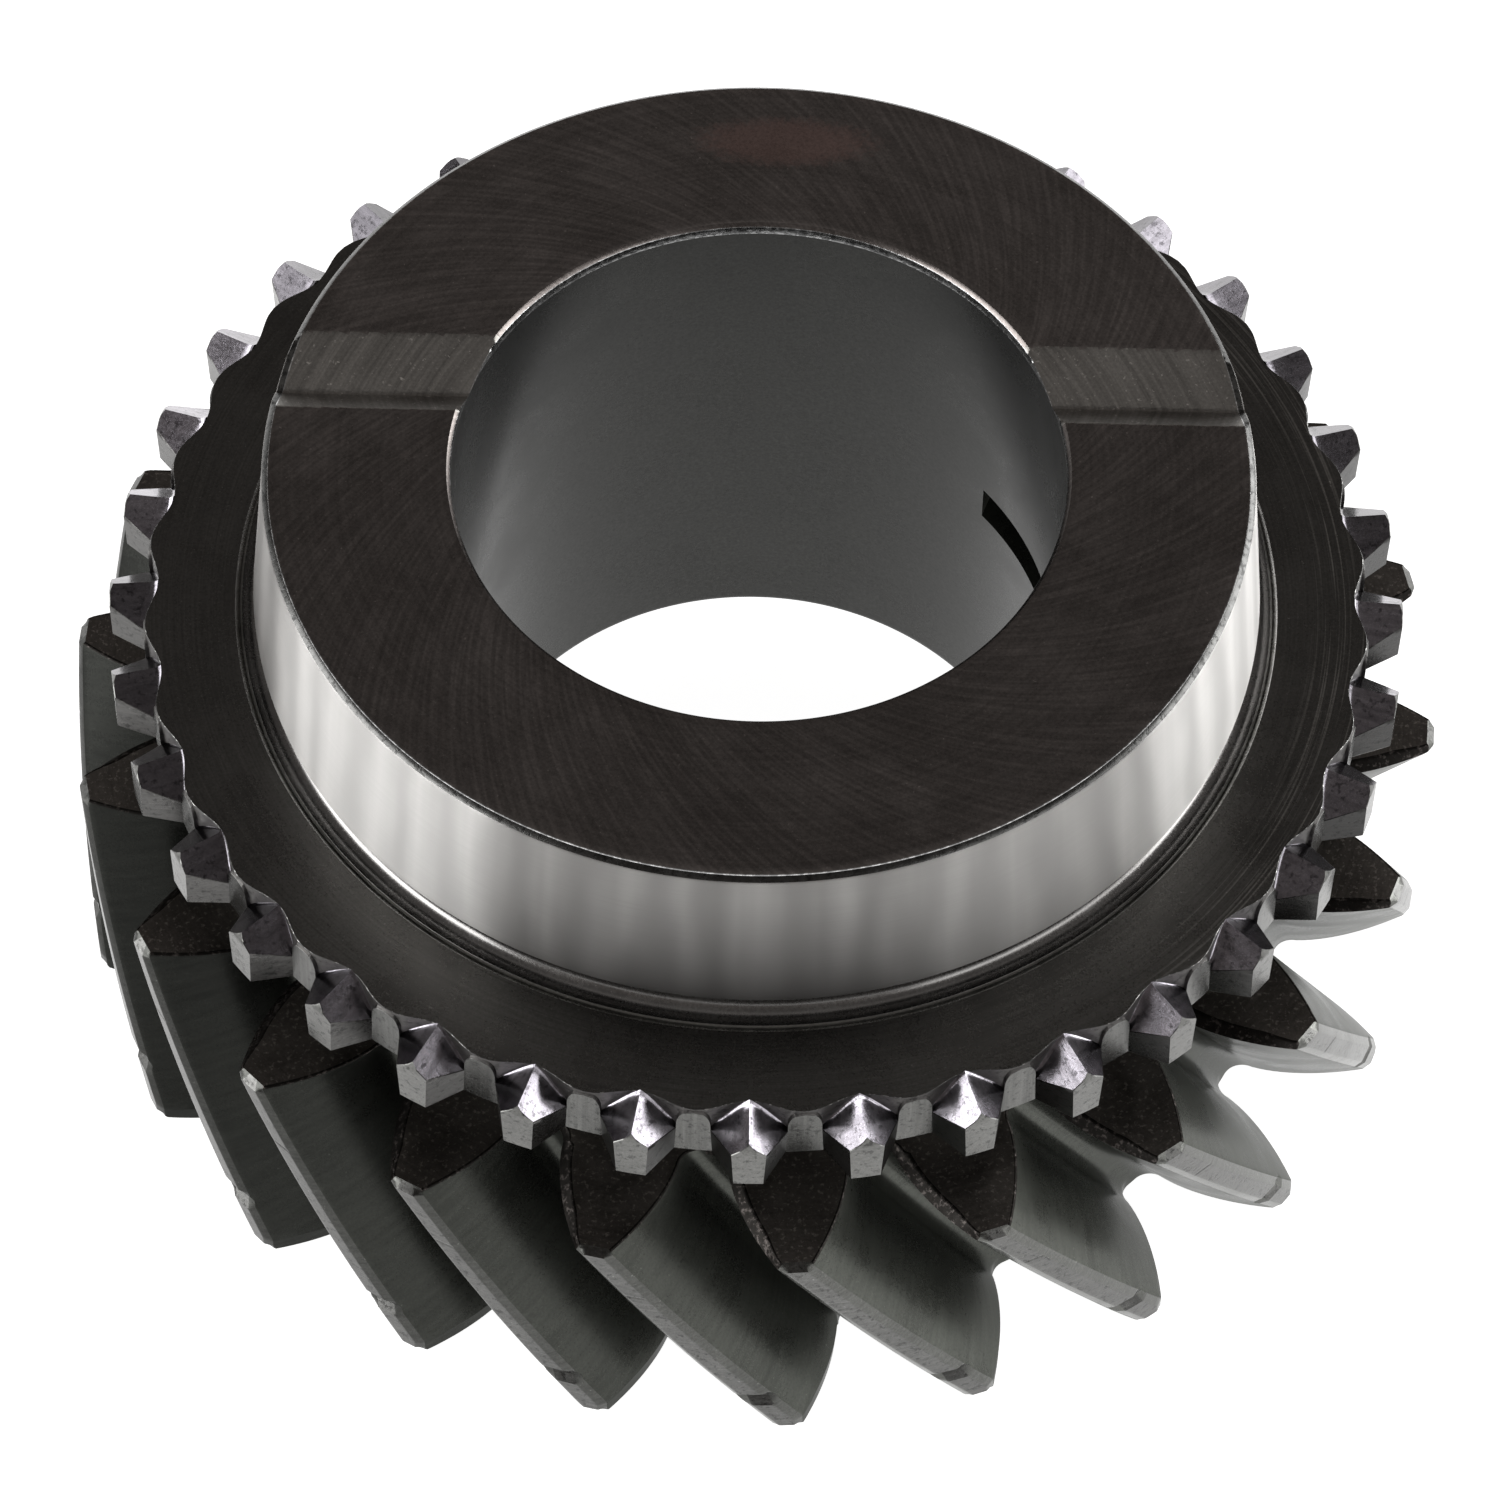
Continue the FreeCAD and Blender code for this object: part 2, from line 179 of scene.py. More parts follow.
def teeth_rings():
    """Outlines of the teeth at rising heights, each a ring of points round the axis."""
    radius, angle, part, side = gear_outline()
    pitch = 2 * math.pi / TEETH
    centre = np.floor(angle / pitch + 0.5) * pitch
    offset = angle - centre
    crest_angle = half_tooth()[3][1]
    share = np.array([{"root": 0.0, "fillet": 0.7}.get(p, 1.0) for p in part])
    land = np.array([p == "land" for p in part])
    crest_taper = np.interp(radius, [43.5, 45.3], [1.0, 0.6])
    rings = []
    for z in tooth_heights():
        low, high = z, FACE_WIDTH - z
        gap = max(0.0, EDGE_BREAK - min(low, high))
        inset = EDGE_BREAK - math.sqrt(EDGE_BREAK ** 2 - gap ** 2)
        lower = LOWER_BEVEL_WIDTH * max(0.0, 1 - low / LOWER_BEVEL_LENGTH)
        upper = UPPER_BEVEL_WIDTH * max(0.0, 1 - high / UPPER_BEVEL_LENGTH) * crest_taper
        shift = np.where(side > 0, lower, upper) * share / radius
        kept = np.where(land, 1 - np.where(side > 0, lower, upper) / TIP_RADIUS / crest_angle, 1.0)
        turned = np.where(land, offset * kept, offset - side * shift) + centre
        xy = np.stack([radius * np.cos(turned), radius * np.sin(turned)], 1)
        along = np.roll(xy, -1, 0) - np.roll(xy, 1, 0)
        normal = np.stack([along[:, 1], -along[:, 0]], 1)
        normal /= np.linalg.norm(normal, axis=1)[:, None]
        xy = xy - normal * inset
        r = np.minimum(np.hypot(xy[:, 0], xy[:, 1]), blank_radius(z))
        a = np.unwrap(np.arctan2(xy[:, 1], xy[:, 0])) + FIRST_TOOTH + (FACE_WIDTH - z) * TWIST
        rings.append((r, a, z))
    return rings, part, side


def arc_points(cx, cz, radius, start, end, steps):
    """Points of an arc in the (r, z) plane; angles in degrees from +r towards +z."""
    return [(cx + radius * math.cos(math.radians(t)), cz + radius * math.sin(math.radians(t)))
            for t in np.linspace(start, end, steps)]


def hub_profile():
    """(r, z, material) from the foot of the neck over the top and down the bore to the lower end face."""
    profile = []

    def run(points, material):
        profile.extend((r, z, material) for r, z in points)

    run([(37.18, FACE_WIDTH)], "end")
    run(arc_points(NECK_RADIUS + NECK_FILLET, FACE_WIDTH + NECK_FILLET, NECK_FILLET, 270, 180, 7), "turned")
    run([(NECK_RADIUS, z) for z in (23.0, 24.5, 26.0, RING_BOTTOM - 0.1)], "turned")
    run([(NECK_RADIUS - 0.1, RING_BOTTOM), (RING_SEAT_RADIUS, RING_BOTTOM)], "turned")
    run([(RING_SEAT_RADIUS, 28.5), (RING_SEAT_RADIUS, 31.22)], "turned")
    run([(34.26, 31.3), (34.17, 31.33)], "turned")
    run(arc_points(RELIEF_CENTRE_RADIUS, RELIEF_CENTRE_Z, RELIEF_RADIUS, -38, -180, 14), "relief")
    run([(32.55, 32.4), (32.62, 32.62)], "relief")
    run([(33.2, 32.93), (33.3, 32.98)], "relief")
    run([(CONE_BASE_RADIUS, CONE_BASE_Z)], "cone")
    for t in np.linspace(0.04, 0.97, 12):
        run([(CONE_BASE_RADIUS + (CONE_TOP_RADIUS - CONE_BASE_RADIUS) * t,
              CONE_BASE_Z + (CONE_TOP_Z - CONE_BASE_Z) * t)], "cone")
    run([(32.27, 44.75)], "cone")
    run([(32.21, 44.86), (31.9, 45.09)], "rim")
    run([(31.87, 45.11), (31.85, 45.18)], "edge")
    run([(TOP_FACE_RADIUS, HUB_TOP)], "top")
    run([(r, HUB_TOP) for r in np.linspace(31.2, 20.9, 10)], "top")
    run([(20.35, HUB_TOP), (20.27, 45.18)], "top")
    run([(20.05, 44.98), (BORE_RADIUS, 44.88)], "edge")
    run([(BORE_RADIUS, z) for z in np.linspace(44.3, 3.3, 22)], "bore")
    run([(BORE_RADIUS, 3.08), (20.05, 2.98)], "bore")
    run([(20.55, 2.45), (20.65, RECESS_DEPTH)], "edge")
    corner = RECESS_RADIUS - RECESS_CORNER
    run([(r, RECESS_DEPTH) for r in (24.0, 28.0, corner)], "turned")
    run(arc_points(corner, RECESS_DEPTH - RECESS_CORNER, RECESS_CORNER, 90, 0, 6)[1:], "turned")
    run([(RECESS_RADIUS, 0.35), (33.05, 0.2), (33.25, 0.02)], "turned")
    run([(r, 0.0) for r in (33.4, 35.0, 36.6, 37.0)], "end")
    return profile


def ring_points(radius, angle, z):
    """Points round the axis at one height."""
    return np.stack([radius * np.cos(angle), radius * np.sin(angle), np.full(len(angle), z)], 1)


def new_object(name, mesh):
    obj = bpy.data.objects.new(name, mesh)
    bpy.context.scene.collection.objects.link(obj)
    return obj


RINGS_AFTER_TEETH = 12
RINGS_BEFORE_TEETH = 8
GEAR_MATERIALS = ["flank", "crest", "chamfer", "bevel", "end", "turned", "relief", "cone", "rim", "edge",
                  "top", "slot", "bore"]


def strip_material(first, second):
    """Material of the strip between two neighbouring points of the tooth outline."""
    pair = {first, second}
    if pair == {"land"}:
        return "crest"
    if "chamfer" in pair and "flank" not in pair:
        return "chamfer"
    return "flank"


def gear_mesh():
    """Teeth and hub as one closed grid of rings.

    The hub's rings pass from the spacing of the tooth outline to an even one, and back at the lower end.
    """
    teeth, part, column_side = teeth_rings()
    count = len(part)
    step = 2 * math.pi / count
    columns = np.arange(count)
    upper = teeth[-1][1]
    even = upper[0] + columns * step
    shift = round((teeth[0][1][0] - even[0]) / step)
    lower = np.concatenate([teeth[0][1][count - shift:] - 2 * math.pi, teeth[0][1][:count - shift]])
    rings = [ring_points(*ring) for ring in teeth]
    heights = [ring[2] for ring in teeth]
    profile = hub_profile()
    band_material = []
    for i, (r, z, material) in enumerate(profile):
        start = min(1.0, max(0.0, (i - 1) / RINGS_AFTER_TEETH))
        end = min(1.0, max(0.0, (len(profile) - 2 - i) / RINGS_BEFORE_TEETH))
        if i < len(profile) / 2:
            angle = upper * (1 - start) + even * start
        else:
            angle = lower * (1 - end) + even * end
        rings.append(ring_points(r, angle, z))
        band_material.append(material)
    vertices = np.concatenate(rings) * MM
    following = (columns + 1) % count
    faces, materials = [], []
    column_material = [strip_material(*pair) for pair in zip(part, part[1:] + part[:1])]
    bevel_material = ["bevel" if side < 0 and name == "flank" else name
                      for name, side in zip(column_material, column_side)]
    edge_material = ["bevel" if name == "flank" else name for name in column_material]
    for band in range(len(rings)):
        low = band * count
        high = ((band + 1) % len(rings)) * count
        roll = shift if band == len(rings) - 1 else 0
        quads = np.stack([low + (columns + roll) % count, low + (following + roll) % count,
                          high + following, high + columns], 1)
        faces.append(quads)
        if band < len(teeth) - 1:
            depth = FACE_WIDTH - heights[band]
            if depth < EDGE_BREAK + 0.02:
                materials += edge_material
            elif depth < UPPER_BEVEL_LENGTH + 0.01:
                materials += bevel_material
            else:
                materials += column_material
        elif band == len(teeth) - 1 or band == len(rings) - 1:
            materials += ["end"] * count
        else:
            materials += [band_material[band - len(teeth)]] * count
    faces = np.concatenate(faces)
    mesh = bpy.data.meshes.new("gear_body")
    mesh.from_pydata(vertices.tolist(), [], faces.tolist())
    index = {name: i for i, name in enumerate(GEAR_MATERIALS)}
    mesh.polygons.foreach_set("material_index", [index[m] for m in materials])
    mesh.update()
    return mesh


def slot_floor(y):
    """Height of the oil slot's floor at a depth y behind the axis."""
    ys = [p[0] for p in SLOT_PROFILE]
    zs = [p[1] for p in SLOT_PROFILE]
    return HUB_TOP + float(np.interp(y, ys, zs))


def mill_top_slot(mesh):
    """The shallow oil slot: cut the faces along its lines, then press what is above the floor down to it."""
    bm = bmesh.new()
    bm.from_mesh(mesh)
    for y, _ in SLOT_PROFILE:
        near = [f for f in bm.faces
                if f.calc_center_median().z > SLOT_REACH_Z * MM
                and abs(f.calc_center_median().y - y * MM) < SLOT_REACH_Y * MM]
        geometry = list({e for f in near for e in f.edges}) + near + list({v for f in near for v in f.verts})
        bmesh.ops.bisect_plane(bm, geom=geometry, plane_co=(0, y * MM, 0), plane_no=(0, 1, 0), dist=1e-7)
    top_index = GEAR_MATERIALS.index("top")
    low, high = SLOT_PROFILE[0][0] * MM, SLOT_PROFILE[-1][0] * MM
    for v in bm.verts:
        if v.co.z > SLOT_REACH_Z * MM and low < v.co.y < high:
            v.co.z = min(v.co.z, slot_floor(v.co.y / MM) * MM)
    high_verts = [v for v in bm.verts if v.co.z > SLOT_REACH_Z * MM]
    bmesh.ops.remove_doubles(bm, verts=high_verts, dist=MERGE_DISTANCE)
    bmesh.ops.recalc_face_normals(bm, faces=bm.faces)
    for f in bm.faces:
        middle = f.calc_center_median()
        if f.material_index == top_index and low < middle.y < high and middle.z < (HUB_TOP - 0.02) * MM:
            f.material_index = GEAR_MATERIALS.index("slot")
    bm.to_mesh(mesh)
    bm.free()


def lube_cutter():
    """Disc that saws the slot through the neck into the bore."""
    across = BORE_RADIUS * math.sin(SAW_HALF_ANGLE)
    centre = BORE_RADIUS * math.cos(SAW_HALF_ANGLE) + math.sqrt(SAW_RADIUS ** 2 - across ** 2)
    bm = bmesh.new()
    bmesh.ops.create_cone(bm, cap_ends=True, segments=256, radius1=SAW_RADIUS * MM, radius2=SAW_RADIUS * MM,
                          depth=SAW_WIDTH * MM, matrix=Matrix.Translation((centre * MM, 0, SAW_Z * MM)))
    mesh = bpy.data.meshes.new("lube_cutter")
    bm.to_mesh(mesh)
    bm.free()
    return new_object("lube_cutter", mesh)


def apply_modifiers(obj):
    """Give the object the mesh that its modifiers make, and drop them."""
    graph = bpy.context.evaluated_depsgraph_get()
    mesh = bpy.data.meshes.new_from_object(obj.evaluated_get(graph))
    obj.modifiers.clear()
    obj.data = mesh
    return mesh


mesh = gear_mesh()
mill_top_slot(mesh)
gear = new_object("gear_body", mesh)
cutter = lube_cutter()
cut = gear.modifiers.new("lube_slot", "BOOLEAN")
cut.object = cutter
cut.operation = "DIFFERENCE"
cut.solver = "EXACT"
mesh = apply_modifiers(gear)
bpy.data.objects.remove(cutter)
mesh.polygons.foreach_set("use_smooth", [True] * len(mesh.polygons))
mesh.set_sharp_from_angle(angle=GEAR_SHARP_ANGLE)
weighted = gear.modifiers.new("flat_faces", "WEIGHTED_NORMAL")
weighted.keep_sharp = True
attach(gear, "root")
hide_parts("helical_gear")

# ---------------------------------------------------------------- dog-tooth ring
SHOULDER = 31.32              # height of the flat shoulder
DOG_TEETH = 36
FIRST_DOG = math.radians(-89.65)
DOG_TIP = 43.05
CROWN_Z = 30.6                # where the bevel at the tip meets the outer land, and its slope
CROWN_SLOPE = 1.6
DOG_APEX = 39.78              # radius at which the ridge leaves the shoulder, and its fall outward
RIDGE_FALL = 0.099
ROOF_SLOPE = 0.88
DOG_HALF_WIDTH = 1.11         # at the tip, at the height DOG_CORNER
DOG_CORNER = 30.02
DOG_FLANK = math.tan(math.radians(30.0))
DOG_TAPER = math.tan(math.radians(2.7))
POCKET_CORNER = math.radians(3.45)    # from the middle of a tooth to where its gap begins
HALF_PITCH = math.pi / DOG_TEETH
GAP_WALL = 40.72              # radius of the wall at the bottom of a gap, and the arch at its top
ARCH_TOP = 31.02
ARCH_FLAT = 0.3
ARCH_HEIGHT = 1.5
SCALLOP = 0.85                # how far the shoulder reaches out between two teeth
SHOULDER_LIP = 0.03           # width of its broken edge
LOWER_BREAK = 0.2             # broken edge round the lower face
RING_MATERIALS = ["ring_turned", "ring_edge", "shoulder", "shoulder_edge", "pocket", "roof", "dog_land",
                  "dog_flank", "gap"]


def roof_height(u, v):
    """Height of a roof facet, u along the tooth and v to its side."""
    return SHOULDER - RIDGE_FALL * (u - DOG_APEX) - ROOF_SLOPE * v


def half_width(u, z):
    """Half the width of a dog tooth, which narrows outward and, by its back taper, downward."""
    return DOG_HALF_WIDTH + (DOG_TIP - u) * DOG_FLANK + (z - DOG_CORNER) * DOG_TAPER


def shoulder_edge(angle):
    """Scalloped outer edge of the shoulder, nearest to the axis at the middle of each tooth."""
    radius = DOG_APEX + SCALLOP * (1 - math.cos(DOG_TEETH * angle)) / 2
    return radius * math.cos(angle), radius * math.sin(angle)


def eave(u):
    """Half width and height where roof and flank meet, at a distance u along the tooth."""
    v = half_width(u, roof_height(u, 0)) / (1 + ROOF_SLOPE * DOG_TAPER)
    return v, roof_height(u, v)


def crease_rows(u, v, outer_u, outer_v):
    """Hollow inner corner that runs from the pocket wall into the roof of the tooth."""
    reach = math.hypot(outer_u - u, outer_v - v)
    size = min(1.0, reach / 1.1)
    rows = []
    for run, rise in ((0.0, 0.2), (0.09, 0.1), (0.28, 0.03), (0.65, 0.0)):
        x = u + (outer_u - u) * run * size / reach
        y = v + (outer_v - v) * run * size / reach
        rows.append((x, y, roof_height(x, y) + rise * size))
    return rows


# Columns of half a tooth, the first of them on its outer land, and those of half a gap
LAND_COLUMNS = 4
TOOTH_COLUMNS = 11
LAND_SHARE = TOOTH_COLUMNS / LAND_COLUMNS
GAP_SHARES = (0.012, 0.045, 0.1, 0.17, 0.26, 0.4, 1.0)

SEAT_AND_SHOULDER = [(RING_SEAT_RADIUS, z) for z in (26.6, 28.8, 31.02)] + [(34.56, 31.28)]
SEAT_AND_SHOULDER += [(radius, SHOULDER) for radius in (34.62, 34.75, 35.8, 36.8, 37.8, 38.8, 39.4)]


def dog_column(kind, share):
    """Points (u, v, z) from the inner wall over the shoulder and the tooth down to the lower face."""
    if kind == "gap":
        angle = POCKET_CORNER + (HALF_PITCH - POCKET_CORNER) * share
    else:
        angle = POCKET_CORNER * share
    rows = [(radius * math.cos(angle), radius * math.sin(angle), z) for radius, z in SEAT_AND_SHOULDER]
    u, v = shoulder_edge(angle)
    length = math.hypot(u, v)
    kept = 1 - SHOULDER_LIP / length
    rows.append((u * kept, v * kept, SHOULDER))
    rows.append((u, v, SHOULDER - 0.025))
    if kind == "gap":
        bend = min(1.0, max(0.0, (1 - share - ARCH_FLAT) / (1 - ARCH_FLAT)))
        arch = ARCH_TOP - ARCH_HEIGHT * (1 - math.sqrt(1 - bend ** 2))
        wall_u, wall_v = GAP_WALL * math.cos(angle), GAP_WALL * math.sin(angle)
        start = min(SHOULDER - 0.06, arch + 0.2)
        for t in (0.0, 0.15, 0.3, 0.5, 0.65, 0.8):
            rows.append((u + (wall_u - u) * t, v + (wall_v - v) * t, start + (arch + 0.01 - start) * t))
        rows.append((wall_u - 0.02, wall_v, arch))
        top, shift = arch - 0.02, 0.0
        rows.append((wall_u, wall_v, top))
    else:
        if kind == "land":
            wall_v = eave(DOG_TIP)[0] * share * LAND_SHARE
            wall_u = math.sqrt(DOG_TIP ** 2 - wall_v ** 2)
            cut = max(0.05, (roof_height(DOG_TIP, wall_v) - CROWN_Z) / (CROWN_SLOPE - RIDGE_FALL))
            outer_u, outer_v = wall_u - cut, wall_v
            top = min(roof_height(wall_u, wall_v) - 0.04, CROWN_Z)
        else:
            part = (share - 1 / LAND_SHARE) / (1 - 1 / LAND_SHARE)
            corner_u = math.sqrt(DOG_TIP ** 2 - eave(DOG_TIP)[0] ** 2)
            wall_u = corner_u + (GAP_WALL * math.cos(POCKET_CORNER) - corner_u) * part
            wall_v = eave(wall_u)[0]
            outer_u, outer_v = wall_u - 0.02, wall_v - 0.03
            top = roof_height(wall_u, wall_v) - 0.03
        rows += crease_rows(u, v, outer_u, outer_v)
        last_u, last_v = rows[-1][:2]
        for t in (0.35, 0.7, 1.0):
            x, y = last_u + (outer_u - last_u) * t, last_v + (outer_v - last_v) * t
            rows.append((x, y, roof_height(x, y)))
        rows.append((wall_u, wall_v, top))
        shift = DOG_TAPER
    for t in (0.12, 0.4, 0.7, 0.93):
        z = top + (RING_BOTTOM + LOWER_BREAK - top) * t / 0.93
        rows.append((wall_u, wall_v - shift * (top - z) * min(1.0, share * 3), z))
    low_u, low_v, _ = rows[-1]
    kept = 1 - LOWER_BREAK / DOG_TIP
    rows.append((low_u * kept, low_v * kept, RING_BOTTOM))
    for radius in (39.0, 36.8, 34.5):
        rows.append((radius * math.cos(angle), radius * math.sin(angle), RING_BOTTOM))
    return rows


def ring_mesh():
    """The ring as one closed grid: columns side by side round the axis, each a loop over the section."""
    half = [("land" if i <= LAND_COLUMNS else "flank", i / TOOTH_COLUMNS) for i in range(TOOTH_COLUMNS + 1)]
    half += [("gap", share) for share in GAP_SHARES]
    columns = [dog_column(*spec) for spec in half]
    right = np.array(columns)
    left = right[:0:-1] * np.array([1, -1, 1])
    tooth = np.concatenate([left[1:], right])
    strip_kinds = [kind for kind, _ in half[1:]]
    tooth_kinds = strip_kinds[::-1][1:] + strip_kinds + ["gap"]
    rows = tooth.shape[1]
    vertices = []
    for k in range(DOG_TEETH):
        turn = FIRST_DOG + k * 2 * HALF_PITCH
        cosine, sine = math.cos(turn), math.sin(turn)
        x = tooth[:, :, 0] * cosine - tooth[:, :, 1] * sine
        y = tooth[:, :, 0] * sine + tooth[:, :, 1] * cosine
        vertices.append(np.stack([x, y, tooth[:, :, 2]], 2))
    vertices = np.concatenate(vertices)
    total = len(vertices)
    bands = (["ring_turned"] * 2 + ["ring_edge"] * 2 + ["shoulder"] * 7 + ["shoulder_edge", "pocket"]
             + ["crease"] * 3 + ["roof"] * 3 + ["brow"] + ["wall"] * 4 + ["ring_turned"] * 5)
    wall_names = {"land": "dog_land", "flank": "dog_flank", "gap": "gap"}
    faces, materials = [], []
    index = {name: i for i, name in enumerate(RING_MATERIALS)}
    for j in range(total):
        kind = tooth_kinds[j % len(tooth)]
        for i in range(rows):
            here, there, below = j * rows, (j + 1) % total * rows, (i + 1) % rows
            faces.append((here + i, here + below, there + below, there + i))
            band = bands[i]
            if band in ("wall", "brow"):
                band = wall_names[kind]
            elif band in ("crease", "roof"):
                band = "pocket" if kind == "gap" else "roof"
            materials.append(index[band])
    mesh = bpy.data.meshes.new("ring_body")
    mesh.from_pydata((vertices.reshape(-1, 3) * MM).tolist(), [], faces)
    mesh.polygons.foreach_set("material_index", materials)
    bm = bmesh.new()
    bm.from_mesh(mesh)
    bmesh.ops.remove_doubles(bm, verts=bm.verts, dist=MERGE_DISTANCE)
    bmesh.ops.recalc_face_normals(bm, faces=bm.faces)
    for edge in bm.edges:
        bend = edge.calc_face_angle(0.0)
        patches = {face.material_index for face in edge.link_faces}
        edge.smooth = bend < RING_SHARP_ANGLE and len(patches) == 1
    for face in bm.faces:
        face.smooth = True
    bm.to_mesh(mesh)
    bm.free()
    return mesh


mesh = ring_mesh()
ring = new_object("ring_body", mesh)
weighted = ring.modifiers.new("flat_faces", "WEIGHTED_NORMAL")
weighted.keep_sharp = True
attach(ring, "root")
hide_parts("clutch_ring")


# ---------------------------------------------------------------- materials
class Steel:
    """One metal surface: a node tree with textures laid along, across and round the axis of the gear."""

    def __init__(self, name, roughness, metallic=1.0):
        self.material = bpy.data.materials.new(name)
        self.material.use_nodes = True
        self.tree = self.material.node_tree
        self.shader = self.tree.nodes["Principled BSDF"]
        self.shader.inputs["Roughness"].default_value = roughness
        self.shader.inputs["Metallic"].default_value = metallic
        position = self.node("ShaderNodeTexCoord").outputs["Object"]
        in_mm = self.node("ShaderNodeVectorMath", operation="SCALE")
        in_mm.inputs["Scale"].default_value = 1000.0
        self.tree.links.new(position, in_mm.inputs[0])
        self.position = in_mm.outputs[0]
        split = self.node("ShaderNodeSeparateXYZ")
        self.tree.links.new(self.position, split.inputs[0])
        self.x, self.y, self.z = split.outputs
        self.angle = self.math("ARCTAN2", self.y, self.x)
        flat = self.node("ShaderNodeVectorMath", operation="LENGTH")
        level = self.combine(self.x, self.y, 0.0)
        self.tree.links.new(level, flat.inputs[0])
        self.radius = flat.outputs["Value"]

    def node(self, kind, **settings):
        node = self.tree.nodes.new(kind)
        for key, value in settings.items():
            setattr(node, key, value)
        return node

    def feed(self, socket, value):
        if isinstance(value, (int, float)):
            socket.default_value = value
        else:
            self.tree.links.new(value, socket)

    def math(self, operation, first, second=0.0, third=0.0):
        node = self.node("ShaderNodeMath", operation=operation)
        for socket, value in zip(node.inputs, (first, second, third)):
            self.feed(socket, value)
        return node.outputs[0]

    def combine(self, x, y, z):
        node = self.node("ShaderNodeCombineXYZ")
        for socket, value in zip(node.inputs, (x, y, z)):
            self.feed(socket, value)
        return node.outputs[0]

    def wrapped(self, around, across, along):
        """Texture space round the axis: waves per radian, per mm of radius and per mm of height."""
        turned = self.combine(self.math("COSINE", self.angle), self.math("SINE", self.angle), 0.0)
        scaled = self.node("ShaderNodeVectorMath", operation="SCALE")
        scaled.inputs["Scale"].default_value = around
        self.tree.links.new(turned, scaled.inputs[0])
        outward, upward = self.math("MULTIPLY", self.radius, across), self.math("MULTIPLY", self.z, along)
        drift = self.math("ADD", outward, upward)
        lifted = self.node("ShaderNodeVectorMath", operation="ADD")
        self.tree.links.new(scaled.outputs[0], lifted.inputs[0])
        self.tree.links.new(self.combine(0.0, 0.0, drift), lifted.inputs[1])
        return lifted.outputs[0]

    def noise(self, vector, scale=1.0, detail=3.0, rough=0.55, warp=0.0):
        node = self.node("ShaderNodeTexNoise")
        node.inputs["Scale"].default_value = scale
        node.inputs["Detail"].default_value = detail
        node.inputs["Roughness"].default_value = rough
        node.inputs["Distortion"].default_value = warp
        self.tree.links.new(vector, node.inputs["Vector"])
        return node.outputs["Fac"]

    def span(self, value, low, high, to_low=0.0, to_high=1.0):
        node = self.node("ShaderNodeMapRange")
        for socket, number in zip(list(node.inputs)[1:5], (low, high, to_low, to_high)):
            socket.default_value = number
        self.tree.links.new(value, node.inputs[0])
        return node.outputs[0]

    def blend(self, share, first, second):
        node = self.node("ShaderNodeMix", data_type="RGBA")
        self.feed(node.inputs[0], share)
        for socket, color in ((node.inputs[6], first), (node.inputs[7], second)):
            if isinstance(color, tuple):
                socket.default_value = (*color, 1)
            else:
                self.tree.links.new(color, socket)
        return node.outputs[2]

    def scaled(self, color, factor):
        node = self.node("ShaderNodeVectorMath", operation="SCALE")
        self.tree.links.new(color, node.inputs[0])
        self.tree.links.new(factor, node.inputs["Scale"])
        return node.outputs[0]

    def color(self, value):
        self.tree.links.new(value, self.shader.inputs["Base Color"])

    def roughness(self, value):
        self.tree.links.new(value, self.shader.inputs["Roughness"])

    def bump(self, height, depth, strength=0.5):
        node = self.node("ShaderNodeBump")
        node.inputs["Strength"].default_value = strength
        node.inputs["Distance"].default_value = depth * MM
        self.tree.links.new(height, node.inputs["Height"])
        self.tree.links.new(node.outputs[0], self.shader.inputs["Normal"])


STAIN = (0.25, 0.175, 0.16)


def tint(color, factor):
    """The colour times a factor, at most 1."""
    return tuple(min(1.0, c * factor) for c in color)


def pitted(steel, tone, height, color, amount):
    """Dark pits that also dent the surface."""
    spot = steel.noise(steel.position, scale=2.3, detail=4.0, rough=0.65)
    hole = steel.span(spot, 0.56 - 0.1 * amount, 0.66 - 0.1 * amount)
    tone = steel.blend(steel.math("MULTIPLY", hole, 0.75), tone, tint(color, 0.3))
    return tone, steel.math("SUBTRACT", height, steel.math("MULTIPLY", hole, 2.5))


def speckled(steel, tone, bright, amount):
    """Light specks where the black finish is worn through."""
    glint = steel.noise(steel.position, scale=2.9, detail=4.0, rough=0.7)
    shine = steel.span(glint, 0.68 - 0.1 * amount, 0.76 - 0.1 * amount)
    return steel.blend(steel.math("MULTIPLY", shine, 0.7), tone, bright)


def swirled(steel, tone, gain):
    """Slanting arcs of a face grinder: spirals that leave the axis at 45 degrees."""
    outward = steel.math("LOGARITHM", steel.radius, math.e)
    spiral = steel.math("SUBTRACT", outward, steel.angle)
    passes = steel.combine(steel.math("MULTIPLY", spiral, 60.0), steel.math("MULTIPLY", outward, 5.0), 0.0)
    arcs = steel.span(steel.noise(passes, detail=1.0), 0.4, 0.68, 1.0 - 0.5 * gain, 1.0 + gain)
    return steel.scaled(tone, arcs)


def stained(steel, tone, grain, place):
    """One ragged brownish stain: centre x, y and half axes along x, y in millimetres."""
    x, y, length, width = place
    across = steel.math("DIVIDE", steel.math("SUBTRACT", steel.x, x), length)
    deep = steel.math("DIVIDE", steel.math("SUBTRACT", steel.y, y), width)
    far = steel.math("ADD", steel.math("MULTIPLY", across, across), steel.math("MULTIPLY", deep, deep))
    ragged = steel.math("ADD", far, steel.math("MULTIPLY", grain, 1.4))
    return steel.blend(steel.span(ragged, 1.1, 1.9, 0.85, 0.0), tone, STAIN)


def painted_light_behind(steel, tone, gains):
    """Tone behind the axis, multiplied by one gain at the -X side and by another from there to +X: painted
    light and shade.
    """
    gain = steel.math("SUBTRACT", steel.span(steel.x, -38.0, -30.0, *gains), 1.0)
    return steel.scaled(tone, steel.math("MULTIPLY_ADD", gain, steel.span(steel.y, 0.0, 8.0), 1.0))


